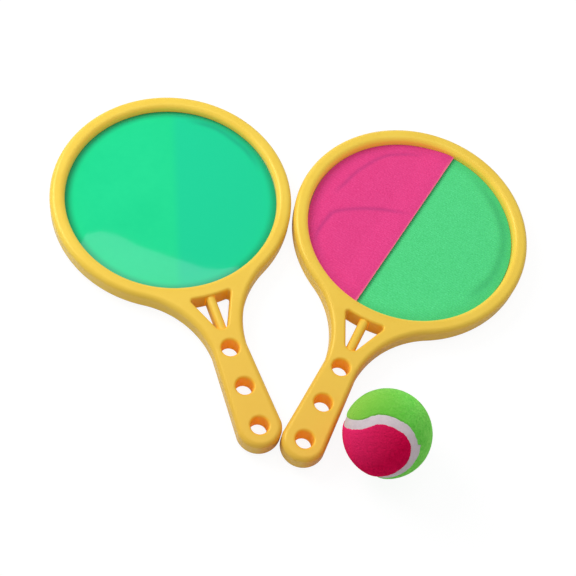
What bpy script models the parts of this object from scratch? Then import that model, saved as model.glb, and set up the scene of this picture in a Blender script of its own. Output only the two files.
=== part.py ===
"""Hook-and-loop catch set: two round-headed catch paddles and one felt-covered ball.

Each paddle is one yellow moulding, with a ring, a throat that has a web across its opening, and
a grip with three through holes. A plastic backing sheet sits in a groove inside the ring, and
two pieces of looped fabric cover its front, one lapping over the other along a seam.
The left paddle lies face down and the right one face up, the ends of their grips side by side.
The ball is two rubber half-shells under two felt panels, with a rubber seam between the panels.

Lengths are in metres and +Z is up. The set lies on z = 0, with its bounding box centred on the
origin in X and Y.
"""

import math

import bmesh
import bpy
from mathutils import Vector

# Paddle moulding: outline
RING_OUTER_RADIUS = 0.0941
RING_WALL_WIDTH = 0.0115
MOULDING_THICKNESS = 0.0178
EDGE_FILLET = 0.0044
MOUTH_FILLET = 0.0021
THROAT_FLARE_RADIUS = 0.0726
NECK_HALF_WIDTH = 0.0131
GRIP_LENGTH = 0.1087
GRIP_END_RADIUS = 0.0165

# Through holes, evenly spaced: the first one stands off the throat opening, and the last one
# is concentric with the round end of the grip
GRIP_HOLE_RADIUS = 0.0065
GRIP_HOLE_COUNT = 3
THROAT_TO_FIRST_HOLE = 0.0163

# Throat opening: it starts at the back of the ring and narrows towards the grip
THROAT_BASE_WIDTH = 0.0320
THROAT_HALF_ANGLE = math.radians(23.55)
THROAT_CORNER_RADIUS = 0.0020
THROAT_APEX_RADIUS = 0.0053

# Web down the middle of the throat, set back from both faces
WEB_WIDTH = 0.0072
WEB_SETBACK = 0.0019
WEB_ROOT = 0.0030

# Backing sheet, and the groove that holds its edge
BACKING_THICKNESS = 0.0024
BACKING_ENGAGEMENT = 0.0022
FIT_CLEARANCE = 0.0003

# Looped fabric on the front of the backing sheet; each paddle's seam lies at its own tilt
FABRIC_THICKNESS = 0.0013
FABRIC_EDGE_CLEARANCE = 0.0004
SEAM_OFFSET = -0.0035
LEFT_SEAM_TILT = math.radians(16.3)
RIGHT_SEAM_TILT = math.radians(-6.3)
SEAM_LAP = 0.0030

# Ball
BALL_RADIUS = 0.0315
FELT_THICKNESS = 0.0022
GLUE_LINE = 0.0005
CORE_WALL = 0.0030
SEAM_BAND_WIDTH = 0.0072
SEAM_RECESS = 0.0004
SEAM_WAVE = 0.178
BALL_TURN = (math.radians(-0.75), math.radians(-54.56), math.radians(-171.40))

# Layout: rings side by side, grip ends side by side, ball beside the right-hand grip
RING_GAP = 0.0024
GRIP_END_GAP = 0.0006
STAGGER = 0.0077
BALL_GAP = 0.0024
BALL_SETBACK = 0.0257

# Facets
RING_STEPS = 64
FILLET_STEPS = 3
BALL_STEPS = 20

RING_BORE_RADIUS = RING_OUTER_RADIUS - RING_WALL_WIDTH
GRIP_END_DISTANCE = RING_OUTER_RADIUS + GRIP_LENGTH
PANEL_THICKNESS = BACKING_THICKNESS + FIT_CLEARANCE + FABRIC_THICKNESS
PANEL_BACK = -PANEL_THICKNESS / 2
BACKING_MIDDLE = PANEL_BACK + BACKING_THICKNESS / 2
FABRIC_BACK = PANEL_BACK + BACKING_THICKNESS + FIT_CLEARANCE
FABRIC_FRONT = FABRIC_BACK + FABRIC_THICKNESS
FABRIC_RADIUS = RING_BORE_RADIUS - FABRIC_EDGE_CLEARANCE


def material(name, colour, roughness):
    """A Principled material for a plastic, rubber or textile piece."""
    mat = bpy.data.materials.new(name)
    mat.use_nodes = True
    shader = mat.node_tree.nodes["Principled BSDF"]
    shader.inputs["Base Color"].default_value = (*colour, 1.0)
    shader.inputs["Roughness"].default_value = roughness
    shader.inputs["Metallic"].default_value = 0.0
    return mat


def add_object(name, mesh, mat, parent):
    """Link a mesh under a parent, in the parent's own frame."""
    obj = bpy.data.objects.new(name, mesh)
    bpy.context.scene.collection.objects.link(obj)
    obj.parent = parent
    obj.data.materials.clear()
    obj.data.materials.append(mat)
    return obj


def add_empty(name, location, rotation):
    empty = bpy.data.objects.new(name, None)
    bpy.context.scene.collection.objects.link(empty)
    empty.location = location
    empty.rotation_euler = rotation
    return empty


def finish_mesh(bm, name, smooth_angle):
    """Weld, turn the faces outwards, and store the mesh shaded smooth up to an angle."""
    bmesh.ops.remove_doubles(bm, verts=bm.verts, dist=1e-6)
    bmesh.ops.recalc_face_normals(bm, faces=bm.faces)
    mesh = bpy.data.meshes.new(name)
    bm.to_mesh(mesh)
    bm.free()
    mesh.shade_smooth()
    mesh.set_sharp_from_angle(angle=math.radians(smooth_angle))
    return mesh


def boolean_mesh(name, base, steps):
    """Apply Boolean steps (operation, tool mesh) to a base mesh and return the result."""
    target = bpy.data.objects.new(name, base)
    bpy.context.scene.collection.objects.link(target)
    tools = []
    for operation, tool_mesh in steps:
        tool = bpy.data.objects.new(name + "_tool", tool_mesh)
        bpy.context.scene.collection.objects.link(tool)
        tool.hide_render = True
        tool.display_type = "WIRE"
        tools.append(tool)
        modifier = target.modifiers.new(operation.title(), "BOOLEAN")
        modifier.operation = operation
        modifier.solver = "EXACT"
        modifier.object = tool
    depsgraph = bpy.context.evaluated_depsgraph_get()
    result = bpy.data.meshes.new_from_object(target.evaluated_get(depsgraph))
    for obj in [target, *tools]:
        bpy.data.objects.remove(obj, do_unlink=True)
    bm = bmesh.new()
    bm.from_mesh(result)
    bmesh.ops.dissolve_degenerate(bm, dist=1e-6, edges=bm.edges)
    bpy.data.meshes.remove(result)
    return finish_mesh(bm, name, 40)


def arc(centre, radius, start, end, steps):
    """Points (u, w) along an arc between two angles, both ends included."""
    points = []
    for i in range(steps + 1):
        angle = start + (end - start) * i / steps
        points.append((centre[0] + radius * math.cos(angle),
                       centre[1] + radius * math.sin(angle)))
    return points


def circle(centre, radius, steps):
    return arc(centre, radius, 0.0, 2 * math.pi, steps)[:-1]


def mirrored(half):
    """Close a half outline, whose two ends lie on the axis, with its mirror image."""
    return half + [(u, -w) for u, w in reversed(half[1:-1])]


def paddle_outline():
    """Ring, concave flare, widening grip and round end, each tangent to the next.

    u runs from the ring's centre along the grip, w across it.
    """
    # The flare's centre lies beside the neck, on a circle that makes it touch the ring.
    flare_w = NECK_HALF_WIDTH + THROAT_FLARE_RADIUS
    flare_u = math.sqrt((RING_OUTER_RADIUS + THROAT_FLARE_RADIUS) ** 2 - flare_w ** 2)
    ring_end = math.atan2(flare_w, flare_u)

    # The grip's straight side touches the flare and the round end from opposite sides.
    reach = GRIP_END_DISTANCE - flare_u
    span = math.hypot(reach, flare_w)
    taper = math.asin((THROAT_FLARE_RADIUS + GRIP_END_RADIUS) / span) - math.atan2(flare_w, reach)

    ring_steps = round(RING_STEPS / 2 * (1 - ring_end / math.pi))
    half = arc((0.0, 0.0), RING_OUTER_RADIUS, math.pi, ring_end, ring_steps)
    half += arc((flare_u, flare_w), THROAT_FLARE_RADIUS,
                ring_end - math.pi, -math.pi / 2 - taper, 10)[1:]
    half += arc((GRIP_END_DISTANCE, 0.0), GRIP_END_RADIUS, math.pi / 2 - taper, 0.0, 8)
    return mirrored(half)


def throat_outline(grow=0.0):
    """Opening that follows the back of the ring, with two corners and a round apex.

    Returns the outline, drawn outward by `grow` all round, and the distance of the opening's
    own apex from the ring's centre.
    """
    # The corner's circle touches the ring's back from outside and the straight side from within.
    half_width = THROAT_BASE_WIDTH / 2
    tip = RING_OUTER_RADIUS + half_width / math.tan(THROAT_HALF_ANGLE)
    normal = (math.sin(THROAT_HALF_ANGLE), math.cos(THROAT_HALF_ANGLE))
    corner_reach = RING_OUTER_RADIUS + THROAT_CORNER_RADIUS
    side = tip * normal[0] - THROAT_CORNER_RADIUS
    corner_angle = math.pi / 2 - THROAT_HALF_ANGLE - math.acos(side / corner_reach)
    corner = (corner_reach * math.cos(corner_angle), corner_reach * math.sin(corner_angle))
    apex = tip - THROAT_APEX_RADIUS / math.sin(THROAT_HALF_ANGLE)

    half = arc((0.0, 0.0), RING_OUTER_RADIUS - grow, 0.0, corner_angle, 4)
    half += arc(corner, THROAT_CORNER_RADIUS + grow, corner_angle + math.pi,
                math.pi / 2 - THROAT_HALF_ANGLE, 4)[1:]
    half += arc((apex, 0.0), THROAT_APEX_RADIUS + grow, math.pi / 2 - THROAT_HALF_ANGLE, 0.0, 4)
    return mirrored(half), apex + THROAT_APEX_RADIUS


def plate_mesh(name, outlines, thickness, fillet):
    """A flat moulding with holes and rounded edges, centred on z = 0.

    A filled 2D curve carries the outlines. Its bevel rounds every edge, and the offset draws
    the curve in by the same amount, so the outlines stay at their stated size.
    """
    curve = bpy.data.curves.new(name, "CURVE")
    curve.dimensions = "2D"
    curve.fill_mode = "BOTH"
    curve.extrude = thickness / 2 - fillet
    curve.bevel_depth = fillet
    curve.bevel_resolution = FILLET_STEPS - 1
    curve.offset = -fillet
    for outline in outlines:
        spline = curve.splines.new("POLY")
        spline.points.add(len(outline) - 1)
        for point, (u, w) in zip(spline.points, outline):
            point.co = (w, -u, 0.0, 1.0)
        spline.use_cyclic_u = True
    holder = bpy.data.objects.new(name, curve)
    bpy.context.scene.collection.objects.link(holder)
    depsgraph = bpy.context.evaluated_depsgraph_get()
    result = bpy.data.meshes.new_from_object(holder.evaluated_get(depsgraph))
    bm = bmesh.new()
    bm.from_mesh(result)
    bpy.data.objects.remove(holder, do_unlink=True)
    bpy.data.curves.remove(curve)
    bpy.data.meshes.remove(result)
    return finish_mesh(bm, name, 40)


def disc_mesh(name, radius, low, high):
    """A flat disc between two heights, with its corners in line with the ring's."""
    bm = bmesh.new()
    rim = [bm.verts.new((w, -u, low)) for u, w in circle((0.0, 0.0), radius, RING_STEPS)]
    base = bm.faces.new(rim)
    grown = bmesh.ops.extrude_face_region(bm, geom=[base])
    risen = [item for item in grown["geom"] if isinstance(item, bmesh.types.BMVert)]
    bmesh.ops.translate(bm, verts=risen, vec=(0.0, 0.0, high - low))
    return finish_mesh(bm, name, 40)


def prism_mesh(name, section, start, end, place):
    """Extrude a section between two stations; place(station, a, b) gives each corner."""
    bm = bmesh.new()
    rims = [[bm.verts.new(place(station, a, b)) for a, b in section] for station in (start, end)]
    bm.faces.new(rims[0])
    bm.faces.new(rims[1])
    for i in range(len(section)):
        j = (i + 1) % len(section)
        bm.faces.new((rims[0][i], rims[0][j], rims[1][j], rims[1][i]))
    return finish_mesh(bm, name, 40)


def web_mesh(apex_distance):
    """The throat's web: a bar with fully rounded upper and lower edges, rooted in both ends."""
    half_height = MOULDING_THICKNESS / 2 - WEB_SETBACK
    radius = WEB_WIDTH / 2
    straight = half_height - radius
    section = arc((0.0, straight), radius, 0.0, math.pi, 6)
    section += arc((0.0, -straight), radius, math.pi, 2 * math.pi, 6)
    return prism_mesh("throat_web", section, RING_OUTER_RADIUS - WEB_ROOT,
                      apex_distance + WEB_ROOT, lambda u, a, b: (a, -u, b))


def plug_mesh(name, outline_at):
    """Cutter for an opening through the plate: straight inside, flared at both mouths.

    outline_at(grow) gives the opening's outline, drawn outward by `grow` all round.
    """
    face = MOULDING_THICKNESS / 2
    flare = []
    for i in range(FILLET_STEPS + 1):
        angle = math.pi / 2 * i / FILLET_STEPS
        flare.append((face - MOUTH_FILLET * (1 - math.sin(angle)),
                      MOUTH_FILLET * (1 - math.cos(angle))))
    flare.append((face + MOUTH_FILLET, MOUTH_FILLET))
    bm = bmesh.new()
    rims = [[bm.verts.new((w, -u, height)) for u, w in outline_at(grow)]
            for height, grow in [(-height, grow) for height, grow in reversed(flare)] + flare]
    bm.faces.new(rims[0])
    bm.faces.new(rims[-1])
    for low, high in zip(rims, rims[1:]):
        for i in range(len(low)):
            j = (i + 1) % len(low)
            bm.faces.new((low[i], low[j], high[j], high[i]))
    return finish_mesh(bm, name, 40)


def hole_plug(distance):
    """Cutter for the grip hole at this distance from the ring's centre."""
    return plug_mesh("hole_plug",
                     lambda grow: circle((distance, 0.0), GRIP_HOLE_RADIUS + grow, 20))


def frame_mesh():
    """The whole moulding: plate with its openings, plus the web, less the groove for the sheet."""
    apex_distance = throat_outline()[1]
    first_hole = apex_distance + THROAT_TO_FIRST_HOLE
    pitch = (GRIP_END_DISTANCE - first_hole) / (GRIP_HOLE_COUNT - 1)
    plate = plate_mesh("paddle_plate",
                       [paddle_outline(), circle((0.0, 0.0), RING_BORE_RADIUS, RING_STEPS)],
                       MOULDING_THICKNESS, EDGE_FILLET)
    steps = [("DIFFERENCE", plug_mesh("throat_plug", lambda grow: throat_outline(grow)[0]))]
    steps += [("DIFFERENCE", hole_plug(first_hole + i * pitch)) for i in range(GRIP_HOLE_COUNT)]
    groove = disc_mesh("panel_groove",
                       RING_BORE_RADIUS + BACKING_ENGAGEMENT + FIT_CLEARANCE,
                       PANEL_BACK - FIT_CLEARANCE,
                       PANEL_BACK + BACKING_THICKNESS + FIT_CLEARANCE)
    steps += [("UNION", web_mesh(apex_distance)), ("DIFFERENCE", groove)]
    return boolean_mesh("paddle_frame", plate, steps)


def fabric_meshes(tilt):
    """Under and upper fabric: sections across the seam, trimmed to the ring.

    The seam passes beside the ring's centre, turned by `tilt` from the paddle's length. Across
    it, 0 is the upper fabric's free edge and the under fabric is on the + side. The upper one
    steps over the under one's edge and laps it by SEAM_LAP.
    """
    def seam_place(along, across, height):
        x = SEAM_OFFSET + across
        return (x * math.cos(tilt) - along * math.sin(tilt),
                x * math.sin(tilt) + along * math.cos(tilt),
                height)

    reach = 2 * RING_BORE_RADIUS
    under_edge = -SEAM_LAP
    lap_low = FABRIC_FRONT + FIT_CLEARANCE
    lap_high = lap_low + FABRIC_THICKNESS
    under = [(under_edge, FABRIC_BACK), (reach, FABRIC_BACK),
             (reach, FABRIC_FRONT), (under_edge, FABRIC_FRONT)]
    fold = under_edge - FIT_CLEARANCE
    rise = lap_high - FABRIC_FRONT
    upper = [(-reach, FABRIC_BACK), (fold, FABRIC_BACK), (fold, lap_low), (0.0, lap_low),
             (0.0, lap_high), (fold - rise, lap_high), (fold - 2.5 * rise, FABRIC_FRONT),
             (-reach, FABRIC_FRONT)]
    meshes = []
    for name, section in (("under_fabric", under), ("upper_fabric", upper)):
        blank = prism_mesh(name, section, -reach, reach, seam_place)
        trim = disc_mesh("fabric_trim", FABRIC_RADIUS, FABRIC_BACK - 0.01, lap_high + 0.01)
        meshes.append(boolean_mesh(name, blank, [("INTERSECT", trim)]))
    return meshes


def ball_seam_point(t):
    """Unit direction of the ball's seam: a closed wave that winds round the ball."""
    a = 1 - SEAM_WAVE
    b = SEAM_WAVE
    return Vector((a * math.cos(t) + b * math.cos(3 * t),
                   a * math.sin(t) - b * math.sin(3 * t),
                   2 * math.sqrt(a * b) * math.sin(2 * t)))


def ball_seam_side(t, half_width):
    """Unit direction beside the seam, half_width towards the panel round +Z."""
    point = ball_seam_point(t)
    tangent = ball_seam_point(t + 1e-4) - ball_seam_point(t - 1e-4)
    side = tangent.cross(point).normalized()
    angle = half_width / BALL_RADIUS
    return (point * math.cos(angle) - side * math.sin(angle)).normalized()


def felt_panel_mesh():
    """One dog-bone felt panel, round the ball's +Z pole.

    The seam is symmetrical about a plane through the pole, so each row of the panel joins a
    seam point to its mirror image, and the rows run from one end of the dog-bone to the other.
    """
    rows = BALL_STEPS
    columns = BALL_STEPS // 2
    inner_radius = BALL_RADIUS - FELT_THICKNESS
    half_band = SEAM_BAND_WIDTH / 2
    bm = bmesh.new()
    layers = []
    for radius in (inner_radius, BALL_RADIUS):
        grid = []
        for i in range(rows + 1):
            t = math.pi * (i / rows - 0.25)
            near = ball_seam_side(t, half_band)
            far = ball_seam_side(1.5 * math.pi - t, half_band)
            if i in (0, rows):
                grid.append([bm.verts.new(near * radius)] * (columns + 1))
                continue
            grid.append([bm.verts.new(near.slerp(far, j / columns) * radius)
                         for j in range(columns + 1)])
        layers.append(grid)

    def add_face(corners):
        unique = list(dict.fromkeys(corners))
        bm.faces.new(unique)

    for grid in layers:
        for i in range(rows):
            for j in range(columns):
                add_face((grid[i][j], grid[i][j + 1], grid[i + 1][j + 1], grid[i + 1][j]))
    inner, outer = layers
    for i in range(rows):
        for j in (0, columns):
            add_face((inner[i][j], inner[i + 1][j], outer[i + 1][j], outer[i][j]))
    return finish_mesh(bm, "felt_panel", 50)


def ball_seam_mesh():
    """The rubber seam: a band between the two panels, a little below the felt."""
    steps = 3 * BALL_STEPS
    half_width = SEAM_BAND_WIDTH / 2 - FIT_CLEARANCE
    low = BALL_RADIUS - FELT_THICKNESS
    high = BALL_RADIUS - SEAM_RECESS
    bm = bmesh.new()
    rings = []
    for i in range(steps):
        t = 2 * math.pi * i / steps
        edges = (ball_seam_side(t, half_width), ball_seam_side(t, -half_width))
        rings.append([bm.verts.new(edges[0] * low), bm.verts.new(edges[0] * high),
                      bm.verts.new(edges[1] * high), bm.verts.new(edges[1] * low)])
    for i in range(steps):
        here = rings[i]
        ahead = rings[(i + 1) % steps]
        for k in range(4):
            bm.faces.new((here[k], here[(k + 1) % 4], ahead[(k + 1) % 4], ahead[k]))
    return finish_mesh(bm, "ball_seam", 50)


def core_half_mesh():
    """One rubber half-shell, open at the joint: its wall's section turned about Z."""
    outer = BALL_RADIUS - FELT_THICKNESS - GLUE_LINE
    inner = outer - CORE_WALL
    joint = FIT_CLEARANCE / 2
    steps = BALL_STEPS // 4
    section = arc((0.0, 0.0), outer, math.asin(joint / outer), math.pi / 2, steps)
    section += arc((0.0, 0.0), inner, math.pi / 2, math.asin(joint / inner), steps)
    bm = bmesh.new()
    verts = [bm.verts.new((r, 0.0, z)) for r, z in section]
    edges = [bm.edges.new((verts[i], verts[(i + 1) % len(verts)])) for i in range(len(verts))
             if i != steps]
    bmesh.ops.spin(bm, geom=verts + edges, axis=(0, 0, 1), cent=(0, 0, 0),
                   angle=2 * math.pi, steps=BALL_STEPS, use_merge=True)
    bmesh.ops.dissolve_degenerate(bm, dist=1e-6, edges=bm.edges)
    return finish_mesh(bm, "core_half", 50)


def layout():
    """Places of both paddles and the ball, with the set's bounding box centred in X and Y."""
    ring_half = math.sqrt((2 * RING_OUTER_RADIUS + RING_GAP) ** 2 - STAGGER ** 2) / 2
    end_half = math.sqrt((2 * GRIP_END_RADIUS + GRIP_END_GAP) ** 2 - STAGGER ** 2) / 2
    splay = math.asin((ring_half - end_half) / GRIP_END_DISTANCE)
    grip_rise = GRIP_END_DISTANCE * math.cos(splay)
    left = Vector((-ring_half, grip_rise + STAGGER / 2, 0.0))
    right = Vector((ring_half, grip_rise - STAGGER / 2, 0.0))

    grip_end = Vector((end_half, -STAGGER / 2, 0.0))
    outward = Vector((math.cos(splay), -math.sin(splay), 0.0))
    ringward = Vector((math.sin(splay), math.cos(splay), 0.0))
    ball = grip_end + outward * (GRIP_END_RADIUS + BALL_GAP + BALL_RADIUS)
    ball += ringward * BALL_SETBACK

    rounds = [(left, RING_OUTER_RADIUS), (right, RING_OUTER_RADIUS), (ball, BALL_RADIUS),
              (grip_end, GRIP_END_RADIUS),
              (Vector((-end_half, STAGGER / 2, 0.0)), GRIP_END_RADIUS)]
    middle = Vector((0.0, 0.0, 0.0))
    for axis in (0, 1):
        low = min(centre[axis] - radius for centre, radius in rounds)
        high = max(centre[axis] + radius for centre, radius in rounds)
        middle[axis] = (low + high) / 2
    return left - middle, right - middle, ball - middle, splay


def build():
    for obj in list(bpy.data.objects):
        bpy.data.objects.remove(obj, do_unlink=True)

    yellow = material("yellow_plastic", (0.85, 0.60, 0.10), 0.38)
    green_plastic = material("green_plastic", (0.03, 0.62, 0.30), 0.15)
    pink_fabric = material("pink_fabric", (0.75, 0.04, 0.22), 0.95)
    green_fabric = material("green_fabric", (0.08, 0.62, 0.22), 0.95)
    pink_felt = material("pink_felt", (0.72, 0.02, 0.11), 1.0)
    green_felt = material("green_felt", (0.16, 0.50, 0.06), 1.0)
    seam_rubber = material("seam_rubber", (0.62, 0.55, 0.58), 0.7)
    core_rubber = material("core_rubber", (0.08, 0.08, 0.08), 0.6)

    left, right, ball, splay = layout()
    lift = Vector((0.0, 0.0, MOULDING_THICKNESS / 2))
    paddles = {
        "left": add_empty("left_paddle", left + lift, (0.0, math.pi, splay)),
        "right": add_empty("right_paddle", right + lift, (0.0, 0.0, -splay)),
    }

    frame = frame_mesh()
    backing = disc_mesh("backing_sheet", RING_BORE_RADIUS + BACKING_ENGAGEMENT,
                        PANEL_BACK, PANEL_BACK + BACKING_THICKNESS)
    seam_tilts = {"left": LEFT_SEAM_TILT, "right": RIGHT_SEAM_TILT}
    for side, paddle in paddles.items():
        under, upper = fabric_meshes(seam_tilts[side])
        add_object(side + "_frame", frame.copy(), yellow, paddle)
        add_object(side + "_backing_sheet", backing.copy(), green_plastic, paddle)
        add_object(side + "_green_fabric", under, green_fabric, paddle)
        add_object(side + "_pink_fabric", upper, pink_fabric, paddle)

    ball_empty = add_empty("felt_ball", ball + Vector((0.0, 0.0, BALL_RADIUS)), BALL_TURN)
    panel = felt_panel_mesh()
    turned_over = (math.pi, 0.0, 0.0)
    add_object("ball_green_felt", panel.copy(), green_felt, ball_empty)
    pink = add_object("ball_pink_felt", panel.copy(), pink_felt, ball_empty)
    pink.rotation_euler = turned_over
    add_object("ball_seam", ball_seam_mesh(), seam_rubber, ball_empty)
    core = core_half_mesh()
    add_object("ball_core_upper_half", core.copy(), core_rubber, ball_empty)
    lower = add_object("ball_core_lower_half", core.copy(), core_rubber, ball_empty)
    lower.rotation_euler = turned_over


build()
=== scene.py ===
# %% [markdown]
# # Catch paddle set
# Two yellow catch paddles and a felt ball lie on a table. The left paddle shows its glossy
# green back, the right one its looped fabric front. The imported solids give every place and
# size; this script makes the fine surfaces that stand for them.

import math

import bmesh
import bpy
from mathutils import Euler, Matrix, Vector, noise
from mathutils.kdtree import KDTree


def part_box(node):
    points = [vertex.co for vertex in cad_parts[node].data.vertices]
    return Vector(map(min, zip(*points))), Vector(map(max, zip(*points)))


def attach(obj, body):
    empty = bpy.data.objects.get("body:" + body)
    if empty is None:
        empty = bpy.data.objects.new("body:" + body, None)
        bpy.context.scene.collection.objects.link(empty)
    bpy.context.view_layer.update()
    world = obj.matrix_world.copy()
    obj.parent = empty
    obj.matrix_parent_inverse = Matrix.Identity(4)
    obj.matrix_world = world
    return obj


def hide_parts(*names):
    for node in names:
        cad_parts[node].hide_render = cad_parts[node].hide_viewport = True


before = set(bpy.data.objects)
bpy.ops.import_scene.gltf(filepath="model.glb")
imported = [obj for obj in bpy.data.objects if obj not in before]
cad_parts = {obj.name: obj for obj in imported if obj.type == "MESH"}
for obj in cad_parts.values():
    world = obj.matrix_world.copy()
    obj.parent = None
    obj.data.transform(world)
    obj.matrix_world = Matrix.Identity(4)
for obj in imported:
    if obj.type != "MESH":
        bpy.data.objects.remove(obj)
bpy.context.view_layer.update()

# %% [markdown]
# ## Camera
# The photograph was taken from above and in front, with the camera rolled a little to the left.
# A single pinhole camera fits both paddles and the ball. Its axes are written as the
# columns of a rotation, which is clearer here than three Euler angles.

# %% Camera at the photograph's viewing angle
PHOTO_SIZE = 576
FOCAL_PIXELS = 1171.4
SENSOR_MM = 36.0
CAMERA_PLACE = Vector((-0.0785, -0.4342, 0.7917))
CAMERA_RIGHT = Vector((0.99159, 0.04206, 0.12241))
CAMERA_UP = Vector((-0.09531, 0.87717, 0.47062))
camera_back = CAMERA_RIGHT.cross(CAMERA_UP).normalized()
camera_data = bpy.data.cameras.new("camera")
camera_data.sensor_width = SENSOR_MM
camera_data.lens = SENSOR_MM * FOCAL_PIXELS / PHOTO_SIZE
camera = bpy.data.objects.new("camera", camera_data)
bpy.context.scene.collection.objects.link(camera)
turned = Matrix((CAMERA_RIGHT, CAMERA_UP, camera_back)).transposed().to_4x4()
camera.matrix_world = Matrix.Translation(CAMERA_PLACE) @ turned
bpy.context.scene.camera = camera
print("lens", round(camera_data.lens, 2), "mm")

# %% [markdown]
# ## Where each paddle lies
# Each paddle is modelled flat round the origin, front side up, with its grip along -Y. The
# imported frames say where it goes: the ring touches two sides of the frame's box, and the end of
# the grip touches a third, which gives the angle.

# %% Sizes of the paddle, and the place of each one
RING_OUTER_RADIUS = 0.0941
RING_BORE_RADIUS = 0.0826
THICKNESS = 0.0178
EDGE_FILLET = 0.0044
MOUTH_FILLET = 0.0021
FLARE_RADIUS = 0.0726
NECK_HALF_WIDTH = 0.0131
GRIP_END_DISTANCE = 0.2028
GRIP_END_RADIUS = 0.0165
SIDES = ("left", "right")


def paddle_place(side):
    """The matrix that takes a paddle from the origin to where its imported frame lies."""
    low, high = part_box(side + "_frame")
    ring_x = low[0] + RING_OUTER_RADIUS if side == "left" else high[0] - RING_OUTER_RADIUS
    ring = Vector((ring_x, high[1] - RING_OUTER_RADIUS, THICKNESS / 2))
    grip_end_y = low[1] + GRIP_END_RADIUS
    splay = math.acos((ring.y - grip_end_y) / GRIP_END_DISTANCE)
    turn = (0.0, math.pi, splay) if side == "left" else (0.0, 0.0, -splay)
    return Matrix.Translation(ring) @ Euler(turn).to_matrix().to_4x4()


places = {side: paddle_place(side) for side in SIDES}
for side in SIDES:
    print(side, [round(v, 4) for v in places[side].translation],
          round(math.degrees(places[side].to_euler().z), 2))

# %% [markdown]
# ## Helpers
# A few jobs come back for every piece. Operators act on all that is selected, so everything is
# deselected before a new primitive is added. A finished piece keeps its object at the origin,
# unturned, so it is moved to its place by its vertices and not by its object.

# %% Helpers: start clean, edit, apply modifiers
MERGE_DISTANCE = 1e-6


def deselect_all():
    if bpy.context.object and bpy.context.object.mode != "OBJECT":
        bpy.ops.object.mode_set(mode="OBJECT")
    bpy.ops.object.select_all(action="DESELECT")


def make_active(piece):
    deselect_all()
    piece.select_set(True)
    bpy.context.view_layer.objects.active = piece


def edit_all():
    """Edit mode, with the whole mesh selected."""
    bpy.ops.object.mode_set(mode="EDIT")
    bpy.ops.mesh.select_all(action="SELECT")


def end_edit():
    """All faces turned outwards, and back to object mode."""
    bpy.ops.mesh.select_all(action="SELECT")
    bpy.ops.mesh.normals_make_consistent(inside=False)
    bpy.ops.object.mode_set(mode="OBJECT")


def apply_modifiers(piece):
    make_active(piece)
    for modifier in list(piece.modifiers):
        bpy.ops.object.modifier_apply(modifier=modifier.name)


# %% Helpers: attributes and placed copies
def smoothstep(low, high, value):
    """0 below the low value, 1 above the high one, and a smooth rise between them."""
    t = min(1.0, max(0.0, (value - low) / (high - low)))
    return t * t * (3 - 2 * t)


def store(piece, name, value_at):
    """Keep one value for each point as an attribute that a material can read."""
    values = piece.data.attributes.new(name, "FLOAT", "POINT")
    for vertex, slot in zip(piece.data.vertices, values.data):
        slot.value = value_at(vertex.co)


def placed_copy(piece, name, place):
    """A copy with a mesh of its own, moved by its vertices, so its object stays at the origin."""
    copy = piece.copy()
    copy.data = piece.data.copy()
    copy.name = name
    bpy.context.scene.collection.objects.link(copy)
    copy.data.transform(place)
    copy.data.update()
    return copy


def triangles(piece):
    piece.data.calc_loop_triangles()
    return len(piece.data.loop_triangles)


# %% [markdown]
# ## The yellow moulding
# Each frame is one moulded piece of satin plastic: a ring, a flared throat and a grip, all of one
# thickness. Its outer edges are rounded so far that the ring is nearly a round section. It could
# be boxed up and bevelled, but a filled 2D curve fits it better: the outlines are drawn once,
# `extrude` gives the thickness, and the curve's own bevel rounds the outside and the bore.

# %% Outline of the moulding
RING_STEPS = 80
FLARE_STEPS = 32
GRIP_END_STEPS = 24
BORE_STEPS = 180
EDGE_STEPS = 8


def arc(centre, radius, start, end, steps):
    """Points (u, w) on an arc. u runs from the ring's centre down the grip, w across it."""
    return [(centre[0] + radius * math.cos(start + (end - start) * i / steps),
             centre[1] + radius * math.sin(start + (end - start) * i / steps))
            for i in range(steps + 1)]


def circle(centre, radius, steps):
    return arc(centre, radius, 0.0, 2 * math.pi, steps)[:-1]


def mirrored(half):
    return half + [(u, -w) for u, w in reversed(half[1:-1])]


def paddle_outline():
    """Ring, flared throat, tapered grip and its round end, with every join tangent."""
    flare_w = NECK_HALF_WIDTH + FLARE_RADIUS
    flare_u = math.sqrt((RING_OUTER_RADIUS + FLARE_RADIUS) ** 2 - flare_w ** 2)
    ring_end = math.atan2(flare_w, flare_u)
    reach = GRIP_END_DISTANCE - flare_u
    taper = (math.asin((FLARE_RADIUS + GRIP_END_RADIUS) / math.hypot(reach, flare_w))
             - math.atan2(flare_w, reach))
    half = arc((0, 0), RING_OUTER_RADIUS, math.pi, ring_end, RING_STEPS)
    half += arc((flare_u, flare_w), FLARE_RADIUS, ring_end - math.pi,
                -math.pi / 2 - taper, FLARE_STEPS)[1:]
    half += arc((GRIP_END_DISTANCE, 0), GRIP_END_RADIUS, math.pi / 2 - taper, 0,
                GRIP_END_STEPS)
    return mirrored(half)


# %% The plate: outline, thickness and rounded edges from one curve
deselect_all()
bpy.ops.object.add(type="CURVE")
moulding = bpy.context.object
moulding.name = "moulding"
drawing = moulding.data
drawing.dimensions = "2D"
drawing.fill_mode = "BOTH"
for outline in (paddle_outline(), circle((0, 0), RING_BORE_RADIUS, BORE_STEPS)):
    spline = drawing.splines.new("POLY")
    spline.points.add(len(outline) - 1)
    for point, (u, w) in zip(spline.points, outline):
        point.co = (w, -u, 0.0, 1.0)
    spline.use_cyclic_u = True
drawing.extrude = THICKNESS / 2 - EDGE_FILLET
drawing.bevel_depth = EDGE_FILLET
drawing.bevel_resolution = EDGE_STEPS
drawing.offset = -EDGE_FILLET
bpy.ops.object.convert(target="MESH")
moulding = bpy.context.object
edit_all()
bpy.ops.mesh.remove_doubles(threshold=MERGE_DISTANCE)
end_edit()
print("plate", triangles(moulding), "triangles")

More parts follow.
